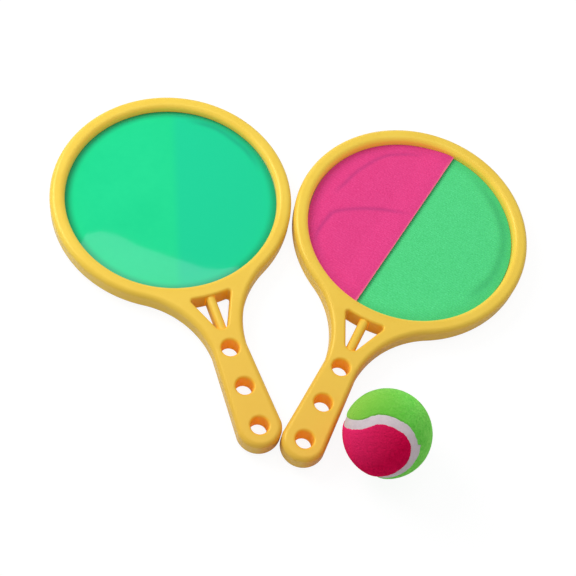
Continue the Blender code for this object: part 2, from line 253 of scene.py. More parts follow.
# %% [markdown]
# ## Openings in the throat and the grip
# The throat's opening and the three grip holes have smaller roundings at their mouths than the
# outer edge. A bevel after the cut would have to run over a face full of thin triangles. So each
# cutter gets the mouth's shape itself: straight in the middle and flared like a trumpet at both
# ends. It is one loop, extruded level by level and redrawn a little wider at each.

# %% Flared cutters
THROAT_HALF_ANGLE = math.radians(23.55)
THROAT_CORNER_RADIUS = 0.0020
THROAT_APEX_RADIUS = 0.0053
THROAT_BASE_HALF_WIDTH = 0.0160
THROAT_STEPS = 12
CORNER_STEPS = 10
MOUTH_STEPS = 7


def throat_outline(grow=0.0):
    """The opening behind the ring, drawn outward by `grow`, and where its apex lies."""
    tip = RING_OUTER_RADIUS + THROAT_BASE_HALF_WIDTH / math.tan(THROAT_HALF_ANGLE)
    corner_reach = RING_OUTER_RADIUS + THROAT_CORNER_RADIUS
    side_distance = tip * math.sin(THROAT_HALF_ANGLE) - THROAT_CORNER_RADIUS
    side_normal = math.pi / 2 - THROAT_HALF_ANGLE
    corner_angle = side_normal - math.acos(side_distance / corner_reach)
    corner = (corner_reach * math.cos(corner_angle), corner_reach * math.sin(corner_angle))
    apex = tip - THROAT_APEX_RADIUS / math.sin(THROAT_HALF_ANGLE)
    half = arc((0, 0), RING_OUTER_RADIUS - grow, 0, corner_angle, THROAT_STEPS)
    half += arc(corner, THROAT_CORNER_RADIUS + grow, corner_angle + math.pi,
                side_normal, CORNER_STEPS)[1:]
    half += arc((apex, 0), THROAT_APEX_RADIUS + grow, side_normal, 0, THROAT_STEPS)
    return mirrored(half), apex + THROAT_APEX_RADIUS


def flared_cutter(outline_at):
    """A closed plug through the plate; outline_at(grow) gives its loop at each level."""
    levels = [(THICKNESS / 2 + MOUTH_FILLET, MOUTH_FILLET)]
    for i in range(MOUTH_STEPS + 1):
        angle = math.pi / 2 * (1 - i / MOUTH_STEPS)
        levels.append((THICKNESS / 2 - MOUTH_FILLET * (1 - math.sin(angle)),
                       MOUTH_FILLET * (1 - math.cos(angle))))
    levels = [(-height, grow) for height, grow in levels] + levels[::-1]
    loop = outline_at(levels[0][1])
    deselect_all()
    bpy.ops.mesh.primitive_circle_add(vertices=len(loop), fill_type="NGON")
    plug = bpy.context.object
    for vertex, (u, w) in zip(plug.data.vertices, loop):
        vertex.co = (w, -u, levels[0][0])
    edit_all()
    for height, grow in levels[1:]:
        bpy.ops.mesh.extrude_region_move()
        last, loop = loop, outline_at(grow)
        rim = bmesh.from_edit_mesh(plug.data)
        for vertex in rim.verts:
            if vertex.select:
                k = min(range(len(last)), key=lambda n: math.hypot(
                    last[n][1] - vertex.co.x, last[n][0] + vertex.co.y))
                vertex.co = (loop[k][1], -loop[k][0], height)
        bmesh.update_edit_mesh(plug.data)
    end_edit()
    return plug


# %% The cutters for the throat and the grip holes
HOLE_RADIUS = 0.0065
HOLE_STEPS = 48
HOLES = 3
THROAT_TO_FIRST_HOLE = 0.0163
throat_apex = throat_outline()[1]
first_hole = throat_apex + THROAT_TO_FIRST_HOLE
hole_spacing = (GRIP_END_DISTANCE - first_hole) / (HOLES - 1)
hole_distances = [first_hole + k * hole_spacing for k in range(HOLES)]
cutters = [flared_cutter(lambda grow: throat_outline(grow)[0])]
for distance in hole_distances:
    cutters.append(flared_cutter(
        lambda grow, at=distance: circle((at, 0), HOLE_RADIUS + grow, HOLE_STEPS)))
print("grip holes at", [round(d * 1000, 1) for d in hole_distances], "mm")

# %% [markdown]
# ## The web and the groove
# A web with fully round edges runs down the throat, set back from both faces, and a groove
# inside the ring holds the backing sheet. The web is a circle whose upper and lower halves are
# pulled apart and then extruded along the throat. It is joined with a Boolean union.

# %% Web and groove
WEB_WIDTH = 0.0072
WEB_SETBACK = 0.0019
WEB_ROOT = 0.0030
WEB_ROWS = 14
WEB_SECTION_STEPS = 44
PANEL_BACK = -0.0020
BACKING_THICKNESS = 0.0024
GROOVE_DEPTH = 0.0025
CLEARANCE = 0.0003

web_start = RING_OUTER_RADIUS - WEB_ROOT
web_end = throat_apex + WEB_ROOT
deselect_all()
bpy.ops.mesh.primitive_circle_add(
    vertices=WEB_SECTION_STEPS, radius=WEB_WIDTH / 2, fill_type="NGON",
    rotation=(math.pi / 2, 0, 0), location=(0, -web_start, 0))
web = bpy.context.object
bpy.ops.object.transform_apply(location=True, rotation=True, scale=True)
stretch = THICKNESS / 2 - WEB_SETBACK - WEB_WIDTH / 2
for vertex in web.data.vertices:
    if abs(vertex.co.z) > MERGE_DISTANCE:
        vertex.co.z += math.copysign(stretch, vertex.co.z)
edit_all()
for i in range(WEB_ROWS):
    bpy.ops.mesh.extrude_region_move(
        TRANSFORM_OT_translate={"value": (0, (web_start - web_end) / WEB_ROWS, 0)})
end_edit()

deselect_all()
bpy.ops.mesh.primitive_cylinder_add(
    vertices=BORE_STEPS, radius=RING_BORE_RADIUS + GROOVE_DEPTH,
    depth=BACKING_THICKNESS + 2 * CLEARANCE,
    location=(0, 0, PANEL_BACK + BACKING_THICKNESS / 2))
groove = bpy.context.object
bpy.ops.object.transform_apply(location=True, rotation=True, scale=True)
print("web", round((web_end - web_start) * 1000, 1), "mm long")

# %% [markdown]
# ## One moulding from all of these
# Booleans take the openings and the groove out of the plate and join the web to it. They form
# one list, so one loop sets them all up. Smooth shading up to an angle keeps the few sharp
# edges crisp, and weighted normals let the large flat faces look flat up to their roundings.

# %% Cut, join and smooth
SMOOTH_ANGLE = math.radians(40)
steps = [("DIFFERENCE", cutter) for cutter in cutters]
steps += [("UNION", web), ("DIFFERENCE", groove)]
for operation, tool in steps:
    boolean = moulding.modifiers.new(operation.title(), "BOOLEAN")
    boolean.operation = operation
    boolean.solver = "EXACT"
    boolean.object = tool
apply_modifiers(moulding)
for _, tool in steps:
    bpy.data.objects.remove(tool, do_unlink=True)
make_active(moulding)
bpy.ops.object.shade_smooth_by_angle(angle=SMOOTH_ANGLE)
weighted = moulding.modifiers.new("Weighted", "WEIGHTED_NORMAL")
weighted.keep_sharp = True
apply_modifiers(moulding)
print("moulding", triangles(moulding), "triangles")

# %% [markdown]
# ## Where the glow and the shade are painted
# Light soaks into the plastic and fills its openings, so the walls of the grip holes look deep
# orange, those of the throat less so, and the bore of the ring gold. That glow is painted: the
# walls of the openings get an orange colour and a little light of their own, and the bore a gold
# light. How near a point is to an opening's wall, and how deep in it, is known from the outlines
# that cut it, so it is kept as an attribute. Another one runs from the ring to the grip, which is
# painted a deeper yellow as shade where the light falls off.

# %% Where the glow and the shade are painted
GLOW_INNER = 0.0003
MOUTH_GLOW = 0.20
GLOW_DEPTHS = (0.0010, 0.0065)
THROAT_SHARE = 0.55
INNER_WALL_REACH = 0.0036
TINY = 1e-12
mouths = [throat_outline()[0]]
mouths += [circle((distance, 0), HOLE_RADIUS, HOLE_STEPS) for distance in hole_distances]


def distance_to_loop(x, y, loop):
    """Distance in the plane from a point to a closed loop of (u, w) pairs; u runs along -y."""
    best = 1.0
    for (u0, w0), (u1, w1) in zip(loop, loop[1:] + loop[:1]):
        du, dw = u1 - u0, w1 - w0
        share = ((-y - u0) * du + (x - w0) * dw) / max(du * du + dw * dw, TINY)
        share = min(1.0, max(0.0, share))
        best = min(best, math.hypot(-y - u0 - share * du, x - w0 - share * dw))
    return best


def painted_glow_at(co):
    """How strongly the glow is painted on a point: most on the walls of the grip holes, and deep in
    them.
    """
    if -co.y < RING_OUTER_RADIUS - MOUTH_FILLET or abs(co.x) > THROAT_BASE_HALF_WIDTH + MOUTH_FILLET:
        return 0.0
    throat, *holes = (distance_to_loop(co.x, co.y, loop) for loop in mouths)
    depth = smoothstep(*GLOW_DEPTHS, THICKNESS / 2 - abs(co.z))
    return (MOUTH_GLOW + (1 - MOUTH_GLOW) * depth) * max(
        1 - smoothstep(GLOW_INNER, MOUTH_FILLET, min(holes)),
        THROAT_SHARE * (1 - smoothstep(GLOW_INNER, MOUTH_FILLET, throat)))


store(moulding, "painted_glow", painted_glow_at)
# Painted shade: the yellow deepens from the ring to the grip, where the light falls off.
store(moulding, "grip_shade", lambda co: smoothstep(0.0, GRIP_END_DISTANCE, -co.y))
# Painted light: the bore of the ring is given a gold light of its own.
store(moulding, "painted_bore_light", lambda co: 1 - smoothstep(
    RING_BORE_RADIUS, RING_BORE_RADIUS + INNER_WALL_REACH, co.xy.length))
glowing = sum(item.value > 0 for item in moulding.data.attributes["painted_glow"].data)
print(glowing, "of", len(moulding.data.vertices), "points glow")

# %% [markdown]
# ## Both frames in place
# The two frames come from one mould, so the mesh is copied and placed twice. Walls that look
# away from the lamp are deeper in colour, most of all along the grips. Which walls those are is
# only known where a frame lies, so that attribute is made last, from the placed normals.

# %% Frames in place
SHADED_TOWARD = Vector((0.86, -0.50, 0.0))
SHADED_FACING = (0.35, 0.90)
SHADED_RING_SHARE = 0.35
SHADED_FROM = (0.100, 0.140)
frames = {}
for side in SIDES:
    frames[side] = placed_copy(moulding, side + "_moulding", places[side])
    shaded = frames[side].data.attributes.new("shaded_wall", "FLOAT", "POINT")
    for vertex, slot in zip(frames[side].data.vertices, shaded.data):
        grip = smoothstep(*SHADED_FROM, (vertex.co - places[side].translation).length)
        slot.value = (smoothstep(*SHADED_FACING, vertex.normal.dot(SHADED_TOWARD))
                      * (SHADED_RING_SHARE + (1 - SHADED_RING_SHARE) * grip))
    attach(frames[side], "root")
    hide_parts(side + "_frame")
    print(frames[side].name, len(frames[side].data.vertices), "points")
bpy.data.objects.remove(moulding, do_unlink=True)

# %% [markdown]
# ## What both round panels share
# The backing sheet and the loop fabric both fill the ring. Each starts as a disc of fine rings,
# because a flat disc of one face could neither wave nor crease. What a material needs to know
# about a place, such as how near the ring is, is kept as an attribute on the points.

# %% Helpers for discs
HELD_IN_GROOVE = 0.0022
FABRIC_ROOM = 0.0004
BACKING_RADIUS = RING_BORE_RADIUS + HELD_IN_GROOVE
FABRIC_RADIUS = RING_BORE_RADIUS - FABRIC_ROOM
FABRIC_BACK = PANEL_BACK + BACKING_THICKNESS + CLEARANCE
FABRIC_THICKNESS = 0.0013
SEAM_OFFSET = -0.0035
SEAM_TILTS = {"left": math.radians(16.3), "right": math.radians(-6.3)}
SEAM_LAP = 0.0030
SHOW_THROUGH = 0.0042


def disc_grid(name, radius, rings, segments):
    """A flat disc of even rings: a circle, extruded and drawn in ring by ring."""
    deselect_all()
    bpy.ops.mesh.primitive_circle_add(vertices=segments, radius=radius, fill_type="NOTHING")
    disc = bpy.context.object
    disc.name = name
    edit_all()
    for i in range(rings - 1, 0, -1):
        bpy.ops.mesh.extrude_region_move()
        share = i / (i + 1)
        bpy.ops.transform.resize(value=(share, share, 1), center_override=(0, 0, 0))
    bpy.ops.mesh.edge_face_add()
    bpy.ops.mesh.select_all(action="SELECT")
    bpy.ops.mesh.normals_make_consistent(inside=False)
    if bmesh.from_edit_mesh(disc.data).faces[:][0].normal.z < 0:
        bpy.ops.mesh.flip_normals()
    bpy.ops.object.mode_set(mode="OBJECT")
    return disc


def near_ring(co, radius, width):
    """0 in the middle of a disc, and a smooth rise to 1 over the last width before a radius."""
    return smoothstep(radius - width, radius, co.xy.length)


def seam_axes(tilt):
    """A point on the seam of the fabrics, and the directions across and along it."""
    across = Vector((math.cos(tilt), math.sin(tilt), 0.0))
    along = Vector((-math.sin(tilt), math.cos(tilt), 0.0))
    return across * SEAM_OFFSET, across, along


def map_cloth(piece, point, across, along):
    """A UV map in metres that follows the cloth: U across the seam, V along it."""
    layer = piece.data.uv_layers.new(name="cloth")
    for loop, spot in zip(piece.data.loops, layer.data):
        offset = piece.data.vertices[loop.vertex_index].co - point
        spot.uv = (offset.dot(across), offset.dot(along))


def thicken(piece, thickness, angle, outward=True):
    """Thickness on one side of a skin, and smooth shading up to an angle."""
    solid = piece.modifiers.new("Thickness", "SOLIDIFY")
    solid.thickness = thickness
    solid.offset = 1 if outward else -1
    apply_modifiers(piece)
    make_active(piece)
    bpy.ops.object.shade_smooth_by_angle(angle=angle)


# %% [markdown]
# ## Creases in the cloth
# The loop fabric was folded before it was glued, so it keeps soft creases: on each paddle one
# follows the ring, and on the right one another swings across the pink. They press the cloth
# down a little, and the shade in them is painted darker, on the cloth and on the sheet behind,
# through which they show. So the distance to the nearest crease is found once, and is used both
# for the shape and as an attribute for the painted shade.

# %% Creases
CREASE_DEPTH = 0.00020
CREASE_STEPS = 24
FAINT_START = 0.18
FAINT_END = 0.3
# Each crease has a half width, and points in the paddle's own frame: an angle in degrees and a
# radius in mm.
CREASES = {
    "left": ((0.0020, ((116, 76.0), (135, 76.3), (152, 75.5), (164, 75.7), (180, 76.0))),),
    "right": (
        (0.0034, ((-34, 73.0), (-5, 74.0), (24, 76.0), (50, 76.0), (74, 77.0))),
        (0.0017, ((102, 75.0), (127, 72.0), (150, 67.0), (168, 65.5), (182, 68.5))),
        (0.0018, ((232, 77.0), (216, 77.0), (207, 72.0), (198, 65.5), (194, 62.5),
                  (189, 54.0), (182, 42.9), (168, 29.1), (150, 19.2), (120, 14.3),
                  (96, 13.0))),
    ),
}


def crease_line(points):
    """A smooth run of points through a crease, with how strong it is at each: faint ends."""
    corners = [Vector((0.001 * r * math.cos(math.radians(a)),
                       0.001 * r * math.sin(math.radians(a)), 0.0)) for a, r in points]
    line = []
    for k in range(len(corners) - 1):
        before = corners[max(k - 1, 0)]
        after = corners[min(k + 2, len(corners) - 1)]
        here, there = corners[k], corners[k + 1]
        for i in range(CREASE_STEPS):
            t = i / CREASE_STEPS
            line.append(0.5 * (2 * here + (there - before) * t
                               + (2 * before - 5 * here + 4 * there - after) * t ** 2
                               + (3 * here - before - 3 * there + after) * t ** 3))
    last = len(line) - 1
    return [(spot, smoothstep(0, FAINT_START, i / last) * smoothstep(0, FAINT_END, 1 - i / last))
            for i, spot in enumerate(line)]


def crease_finder(side):
    """A function that says how deep in a crease a point lies, from 0 to 1."""
    lines = [(spot, strength, width) for width, points in CREASES[side]
             for spot, strength in crease_line(points)]
    tree = KDTree(len(lines))
    for i, line in enumerate(lines):
        tree.insert(line[0], i)
    tree.balance()

    def crease_at(co):
        _, i, distance = tree.find((co.x, co.y, 0.0))
        _, strength, width = lines[i]
        return strength * math.exp(-(distance / width) ** 2)

    return crease_at


for side in SIDES:
    print(side, len(CREASES[side]), "creases")


# %% [markdown]
# ## The backing sheet
# A round sheet of glossy green plastic, held by its edge. Real sheet is never dead flat, and a
# gloss shows it: the lamp's reflection near the throat swells at one end, dips and runs out
# along the ring at the other. A bend of a tenth of a millimetre does that. It is written as the
# slope that each place along the reflection's edge needs, and it fades away across the edge.
# The plastic is a little translucent, so the two fabrics behind it show through as two tones.
# An attribute says how much pink lies behind each point, another marks the zone by the ring, where
# shade is painted darker.

# %% The bend of the sheet
# The lamp's edge is turned from the X axis, and lies this far across from the sheet's middle.
LAMP_TURN = math.radians(-16)
EDGE_ACROSS = -0.050
EDGE_FADE = 0.040
# Slopes, and the places along the edge where they act.
TILT = 0.0012
SWELL, SWELL_AT, SWELL_WIDTH = 0.0026, -0.026, 0.013
LIFT, LIFT_FROM, LIFT_TO = 0.0078, 0.042, 0.075
FALL, FALL_FROM, FALL_TO = 0.0050, -0.038, -0.050


def sheet_bend(spot):
    """Height of the bend at a place on the sheet, measured along and across the lamp's edge."""
    along_edge, across_edge = Matrix.Rotation(-LAMP_TURN, 2) @ spot.xy
    slope = (TILT + SWELL * math.exp(-((along_edge - SWELL_AT) / SWELL_WIDTH) ** 2)
             + LIFT * smoothstep(LIFT_FROM, LIFT_TO, along_edge)
             - FALL * smoothstep(FALL_FROM, FALL_TO, along_edge))
    reach = across_edge - EDGE_ACROSS
    return slope * reach * math.exp(-(reach / EDGE_FADE) ** 2)


# %% Backing sheets
SHEET_RINGS = 64
SHEET_SEGMENTS = 180
SHEET_WAVE_DEPTH = 0.00003
SHEET_WAVE_SCALE = 13
SHEET_WAVE_SEED = 3.1
WAVE_FADE_POWER = 6
RIM_SHADE_WIDTH = 0.0075
RIM_BEND = 0.00003
sheets = {}
for side in SIDES:
    sheet = disc_grid("sheet", BACKING_RADIUS, SHEET_RINGS, SHEET_SEGMENTS)
    point, across, along = seam_axes(SEAM_TILTS[side])
    for vertex in sheet.data.vertices:
        slow = noise.noise(Vector((vertex.co.x * SHEET_WAVE_SCALE,
                                   vertex.co.y * SHEET_WAVE_SCALE, SHEET_WAVE_SEED)))
        fade = max(0.0, 1 - (vertex.co.xy.length / RING_BORE_RADIUS) ** WAVE_FADE_POWER)
        bend = near_ring(vertex.co, RING_BORE_RADIUS, RIM_SHADE_WIDTH)
        seen_from_ring = places[side] @ vertex.co - places[side].translation
        vertex.co.z = (PANEL_BACK - sheet_bend(seen_from_ring)
                       + SHEET_WAVE_DEPTH * slow * fade + RIM_BEND * bend)
    store(sheet, "pink_behind",
          lambda co: 1 - smoothstep(-SHOW_THROUGH, SHOW_THROUGH, (co - point).dot(across)))
    # Painted shade: darker beside the ring.
    store(sheet, "ring_shade", lambda co: near_ring(co, RING_BORE_RADIUS, RIM_SHADE_WIDTH))
    # Painted shade along the creases, which show through the sheet.
    store(sheet, "crease", crease_finder(side))
    thicken(sheet, BACKING_THICKNESS, SMOOTH_ANGLE)
    sheets[side] = placed_copy(sheet, side + "_sheet", places[side])
    bpy.data.objects.remove(sheet, do_unlink=True)
    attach(sheets[side], "root")
    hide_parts(side + "_backing_sheet")
print("backing sheet", triangles(sheets["left"]), "triangles")

# %% [markdown]
# ## The loop fabric
# Two part-discs of fine looped fabric cover the front. The green one lies flat, and the pink one
# laps over its edge along a seam that runs askew, at its own angle on each paddle. Each part is
# a fine disc cut by `bisect`, stepped up where it laps, and pressed down along the creases.
# Attributes mark the raw edge of the pink, and the shade that it throws on the green.

# %% The fabric's shape
FABRIC_RINGS = 84
FABRIC_SEGMENTS = 240
CLOTH_WAVE_DEPTH = 0.00006
CLOTH_WAVE_SCALE = 60
CLOTH_WAVE_SEED = 7.7
CLOTH_WAVE_FADE = 0.004
CLOTH_SMOOTH_ANGLE = math.radians(50)
LAP_STEP = FABRIC_THICKNESS + CLEARANCE
STEP_LENGTH = 0.0220
STEP_PAST_LAP = 0.0002


def fabric_part(colour, tilt):
    """One part-disc, cut along the seam, a little uneven, and stepped up where it laps."""
    point, across, along = seam_axes(tilt)
    part = disc_grid(colour, FABRIC_RADIUS, FABRIC_RINGS, FABRIC_SEGMENTS)
    edge = -SEAM_LAP if colour == "green" else 0.0
    make_active(part)
    edit_all()
    bpy.ops.mesh.bisect(plane_co=point + across * edge, plane_no=across,
                        clear_inner=colour == "green", clear_outer=colour == "pink")
    bpy.ops.object.mode_set(mode="OBJECT")
    for vertex in part.data.vertices:
        co = vertex.co
        offset = (co - point).dot(across)
        rise = 0.0
        if colour == "pink":
            rise = LAP_STEP * smoothstep(-SEAM_LAP - STEP_LENGTH, -SEAM_LAP + STEP_PAST_LAP,
                                         offset)
        soft = noise.noise(Vector((co.x * CLOTH_WAVE_SCALE, co.y * CLOTH_WAVE_SCALE,
                                   CLOTH_WAVE_SEED)))
        inside = smoothstep(0, CLOTH_WAVE_FADE, FABRIC_RADIUS - co.xy.length)
        co.z = FABRIC_BACK + rise + inside * CLOTH_WAVE_DEPTH * soft
    map_cloth(part, point, across, along)
    return part


# %% What the fabric's finish has to know
EDGE_LINE = 0.0012
LAP_SHADE = 0.0045
CLOTH_RIM = 0.0120


def mark_fabric(part, colour, tilt, crease_at):
    """Attributes for painted shade in the creases and beside the ring, the pink's raw edge, and its
    painted shade on the green.
    """
    point, across, along = seam_axes(tilt)
    # Painted shade along the creases.
    store(part, "crease", crease_at)
    store(part, "cut_edge", lambda co: (
        1 - smoothstep(0, EDGE_LINE, -(co - point).dot(across)) if colour == "pink" else 0.0))
    # Painted shade: darker beside the ring.
    store(part, "ring_shade", lambda co: near_ring(co, FABRIC_RADIUS, CLOTH_RIM))
    store(part, "lap_shade", lambda co: (
        1 - smoothstep(0, LAP_SHADE, (co - point).dot(across)) if colour == "green" else 0.0))


# %% The four pieces of fabric in place
FACING_UP = 0.5
fabrics = {}
for side in SIDES:
    crease_at = crease_finder(side)
    for colour in ("green", "pink"):
        part = fabric_part(colour, SEAM_TILTS[side])
        mark_fabric(part, colour, SEAM_TILTS[side], crease_at)
        flat_area = sum(face.area for face in part.data.polygons)
        thicken(part, FABRIC_THICKNESS, CLOTH_SMOOTH_ANGLE)
        top = [vertex for vertex in part.data.vertices if vertex.normal.z > FACING_UP]
        for vertex in top:
            vertex.co.z -= CREASE_DEPTH * crease_at(vertex.co)
        key = side + "_" + colour
        fabrics[key] = placed_copy(part, key + "_loop", places[side])
        bpy.data.objects.remove(part, do_unlink=True)
        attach(fabrics[key], "root")
        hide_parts(key + "_fabric")
        print(key, triangles(fabrics[key]), "triangles, cut from",
              round(flat_area * 1e4, 1), "cm2")

# %% [markdown]
# ## The ball
# The ball is covered like a tennis ball: two equal dog-bone panels of felt with a pale rubber
# seam between them. The seam is a known closed curve on the sphere. Each panel starts as a flat
# square grid, drawn in to a disc, so that the disc's edge follows the seam all the way round.

# %% The seam's curve and the ball's place
BALL_RADIUS = 0.0315
SEAM_WAVE = 0.178
SWING = 0.00145
SWING_LENGTH = math.radians(9.5)
TANGENT_STEP = 1e-4
BALL_TURN = Euler((math.radians(-0.75), math.radians(-54.56), math.radians(-171.40)))
ball_box = [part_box(name) for name in ("ball_green_felt", "ball_pink_felt", "ball_seam")]
ball_centre = Vector([(min(low[k] for low, high in ball_box)
                       + max(high[k] for low, high in ball_box)) / 2 for k in range(3)])
ball_centre.z = BALL_RADIUS
ball_place = Matrix.Translation(ball_centre) @ BALL_TURN.to_matrix().to_4x4()
print("ball centre", [round(v, 4) for v in ball_centre])


def true_seam(t):
    """Direction of the seam before it was pulled: a known curve, once round as t turns."""
    a = 1 - SEAM_WAVE
    b = SEAM_WAVE
    return Vector((a * math.cos(t) + b * math.cos(3 * t), a * math.sin(t) - b * math.sin(3 * t),
                   2 * math.sqrt(a * b) * math.sin(2 * t)))


def to_one_side(curve, t, distance):
    """Direction of the point that lies `distance` along the ball from a curve on it."""
    point = curve(t)
    tangent = curve(t + TANGENT_STEP) - curve(t - TANGENT_STEP)
    side = tangent.cross(point).normalized()
    angle = distance / BALL_RADIUS
    return (point * math.cos(angle) - side * math.sin(angle)).normalized()


def seam_direction(t):
    """The seam as it was laid: it swings to one side and back where the panels were pulled."""
    turn = math.remainder(t, 2 * math.pi) / SWING_LENGTH
    return to_one_side(true_seam, t, SWING * turn * math.exp(0.5 - 0.5 * turn * turn))


def beside_seam(t, distance):
    """Direction of the point that lies `distance` to one side of the seam."""
    return to_one_side(seam_direction, t, distance)


# %% [markdown]
# ## The edge of the felt
# The felt is cut and laid by hand, so the rubber between the panels isn't of one width: its
# edges are ragged, in one place both panels are pulled to one side, and the green one has a
# nick. All of it is one function, the half width of the rubber at each place along the seam,
# and so the felt and the rubber always agree.

# %% How far a point lies from the seam
SEAM_SAMPLES = 1440
seam_tree = KDTree(SEAM_SAMPLES)
for i in range(SEAM_SAMPLES):
    seam_tree.insert(seam_direction(2 * math.pi * i / SEAM_SAMPLES).normalized(), i)
seam_tree.balance()
print("seam sampled at", SEAM_SAMPLES, "places")

# %% Half the width of the rubber
HALF_BAND = 0.0033
RAGGED = 0.00052
# Each noise has a share, a scale, and the axis along which a panel's seed moves it.
RAGGED_NOISES = ((0.7, 9, Vector((1, 0, 0))), (0.5, 21, Vector((0, 0, 1))),
                 (0.5, 38, Vector((0, 1, 0))))
PANEL_SEEDS = {"green": 3.0, "pink": 17.0}
PULL = 0.00045
PULL_LENGTH = math.radians(11)
# The nick opens at once and closes slowly. Before it, the felt reaches out over the rubber.
NICK_DEPTH = 0.0015
NICK_START = math.radians(52)
NICK_OPENS_IN = math.radians(1.6)
NICK_FULL_FOR = math.radians(4)
NICK_END = math.radians(76)
LIP_SHARE = 0.6
LIP_STARTS_BEFORE = math.radians(18)
LIP_FULL_BEFORE = math.radians(6)


def half_band(t, colour):
    """Half the width of the rubber that shows, a little uneven, because the felt is hand-laid."""
    point = seam_direction(t)
    turn = math.remainder(t, 2 * math.pi)
    uneven = sum(share * noise.noise(point * scale + PANEL_SEEDS[colour] * axis)
                 for share, scale, axis in RAGGED_NOISES)
    width = HALF_BAND + RAGGED * uneven
    pull = PULL * math.exp(-(turn / PULL_LENGTH) ** 2)
    if colour == "pink":
        return width + pull
    opened = smoothstep(NICK_START, NICK_START + NICK_OPENS_IN, turn)
    nick = opened * (1 - smoothstep(NICK_START + NICK_FULL_FOR, NICK_END, turn))
    lip = (1 - opened) * smoothstep(NICK_START - LIP_STARTS_BEFORE,
                                    NICK_START - LIP_FULL_BEFORE, turn)
    return width - pull + NICK_DEPTH * (nick - LIP_SHARE * lip)


# %% [markdown]
# ## Felt panels
# A felt panel is die-cut flat and stretched over the core, so it has no seams of its own, and
# its rim rolls down to the rubber. A sphere cut along the seam would get a jagged rim, because
# its faces meet the seam at all angles. Here a square grid is drawn in to a disc, and each of
# its lines then runs over the ball from one side of the panel's rim to the other. The nap is
# two noises that lift the points by a tenth of a millimetre.

# %% The rim of a felt panel
PANEL_START = -math.pi / 4


def panel_rim(colour):
    """Directions all along the edge of a panel, from the middle of one of its round ends."""
    turns = [PANEL_START + 2 * math.pi * k / SEAM_SAMPLES for k in range(SEAM_SAMPLES)]
    return [beside_seam(t, half_band(t, colour)) for t in turns]


def rim_at(rim, turn):
    """Direction of the rim at a turn from its start, between the two nearest samples."""
    place = turn / (2 * math.pi) * SEAM_SAMPLES
    k = math.floor(place)
    return rim[k % SEAM_SAMPLES].slerp(rim[(k + 1) % SEAM_SAMPLES], place - k)


def from_rim_to_rim(rim, a, b):
    """Direction on the ball for a place (a, b) on the square grid, from -1 to 1 each way."""
    x, y = a * math.sqrt(1 - b * b / 2), b * math.sqrt(1 - a * a / 2)
    turn = math.acos(min(1.0, max(-1.0, x)))
    half_chord = math.sin(turn)
    share = 0.5
    if half_chord > MERGE_DISTANCE:
        share = 0.5 + 0.5 * min(1.0, max(-1.0, y / half_chord))
    return rim_at(rim, -turn).slerp(rim_at(rim, turn), share)


# %% The felt's surface and size
FELT_PROUD = 0.0002
FELT_EDGE_ROUND = 0.0013
FELT_EDGE_DROP = 0.0009
ROLL_CALMS_NAP = 0.6
NAP_HEIGHT, NAP_SCALE = 0.00012, 40
NAP_FRACTAL = (0.7, 2.1, 4)
TUFT_HEIGHT, TUFT_SCALE = 0.00010, 95
MEASURE_STEPS = 120


def felt_height(direction, colour):
    """Distance of the napped surface from the ball's middle; it rolls down towards its rim."""
    _, k, distance = seam_tree.find(direction)
    edge = distance * BALL_RADIUS - half_band(2 * math.pi * k / SEAM_SAMPLES, colour)
    roll = max(0.0, 1 - max(0.0, edge) / FELT_EDGE_ROUND)
    seed = PANEL_SEEDS[colour]
    nap = noise.fractal(direction * NAP_SCALE + Vector((seed, 0, 0)), *NAP_FRACTAL)
    tuft = noise.noise(direction * TUFT_SCALE + Vector((0, seed, 0)))
    return (BALL_RADIUS + FELT_PROUD - FELT_EDGE_DROP * roll * roll
            + (1 - ROLL_CALMS_NAP * roll) * (NAP_HEIGHT * nap + TUFT_HEIGHT * tuft))


def panel_size(rim):
    """Width and length of a panel, measured over the ball across and along its middle."""
    turns = [math.pi * i / MEASURE_STEPS for i in range(MEASURE_STEPS + 1)]
    pairs = [(rim_at(rim, -turn), rim_at(rim, turn)) for turn in turns]
    middles = [near.slerp(far, 0.5) for near, far in pairs]
    width = BALL_RADIUS * max(near.angle(far, 0.0) for near, far in pairs)
    length = BALL_RADIUS * sum(a.angle(b, 0.0) for a, b in zip(middles, middles[1:]))
    return width, length


# %% Felt panels
PANEL_CUTS = 176
FELT_SHELL = 0.0013
FELT_SMOOTH_ANGLE = math.radians(60)


def face_outward(skin):
    """Turn the faces of an open skin around the origin so that they look away from it."""
    if sum(face.normal.dot(face.center) for face in skin.data.polygons) < 0:
        skin.data.flip_normals()


def felt_panel(name, colour):
    """One panel, laid on the ball and thickened inwards, with its area, width and length."""
    rim = panel_rim(colour)
    deselect_all()
    bpy.ops.mesh.primitive_grid_add(x_subdivisions=PANEL_CUTS, y_subdivisions=PANEL_CUTS, size=2)
    panel = bpy.context.object
    panel.name = name
    for vertex in panel.data.vertices:
        direction = from_rim_to_rim(rim, vertex.co.x, vertex.co.y)
        vertex.co = direction * felt_height(direction, colour)
    face_outward(panel)
    area = sum(face.area for face in panel.data.polygons)
    thicken(panel, FELT_SHELL, FELT_SMOOTH_ANGLE, outward=False)
    return panel, area, *panel_size(rim)


# %% Both panels in place
# The pink panel is made as the green one is, and turned over: the seam's curve maps onto itself.
over = Euler((math.pi, 0.0, 0.0)).to_matrix().to_4x4()
CORE_HALVES = ("ball_core_upper_half", "ball_core_lower_half")
felts = {}
for colour, turn in (("green", Matrix.Identity(4)), ("pink", over)):
    panel, area, width, length = felt_panel("felt", colour)
    felts[colour] = placed_copy(panel, colour + "_felt", ball_place @ turn)
    bpy.data.objects.remove(panel, do_unlink=True)
    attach(felts[colour], "root")
    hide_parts("ball_" + colour + "_felt")
    print(colour, "felt", triangles(felts[colour]), "triangles,", round(width * 1000, 1), "by",
          round(length * 1000, 1), "mm,", round(area * 1e4, 1), "cm2")

# %% [markdown]
# ## The rubber seam
# Between the panels shows a band of pale rubber, set a little below the felt and not quite
# even. A curve with a flat profile would twist as it goes round the ball. So the band is a long
# grid, wrapped once round along the seam, and each side is as wide as the felt leaves it and
# then goes a little way under the felt.

